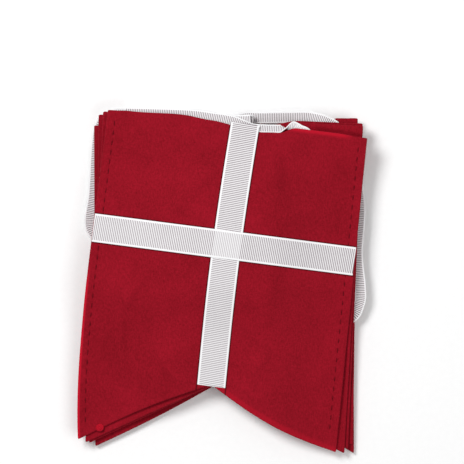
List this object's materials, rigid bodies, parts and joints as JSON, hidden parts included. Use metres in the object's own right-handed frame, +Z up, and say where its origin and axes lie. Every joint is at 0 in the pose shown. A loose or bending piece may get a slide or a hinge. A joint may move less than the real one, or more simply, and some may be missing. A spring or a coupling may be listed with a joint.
{
  "type": "fabric bunting",
  "caption": "Folded garland of red swallow-tailed cloth flags with a white grosgrain cross, piled face up on one narrow white heading tape.",
  "frame": {"origin": "middle of the pile's outline, on the surface it lies on", "axes": "+Z up out of the flags' faces, +Y from the tails to the top edges, +X to the right as seen from above"},
  "size_m": [0.1733, 0.2074, 0.027],
  "materials": {
    "red_cloth": "matte brushed felt-like cloth",
    "white_grosgrain": "ribbed grosgrain with smooth selvedges, low sheen"
  },
  "bodies": {
    "root": {"flag_1_cloth": "red_cloth", "flag_1_upright_ribbon": "white_grosgrain", "flag_1_level_ribbon": "white_grosgrain", "flag_2_cloth": "red_cloth", "flag_2_upright_ribbon": "white_grosgrain", "flag_2_level_ribbon": "white_grosgrain", "flag_3_cloth": "red_cloth", "flag_3_upright_ribbon": "white_grosgrain", "flag_3_level_ribbon": "white_grosgrain", "flag_4_cloth": "red_cloth", "flag_4_upright_ribbon": "white_grosgrain", "flag_4_level_ribbon": "white_grosgrain", "flag_5_cloth": "red_cloth", "flag_5_upright_ribbon": "white_grosgrain", "flag_5_level_ribbon": "white_grosgrain", "flag_6_cloth": "red_cloth", "flag_6_upright_ribbon": "white_grosgrain", "flag_6_level_ribbon": "white_grosgrain", "heading_tape": "white_grosgrain"}
  },
  "joints": []
}
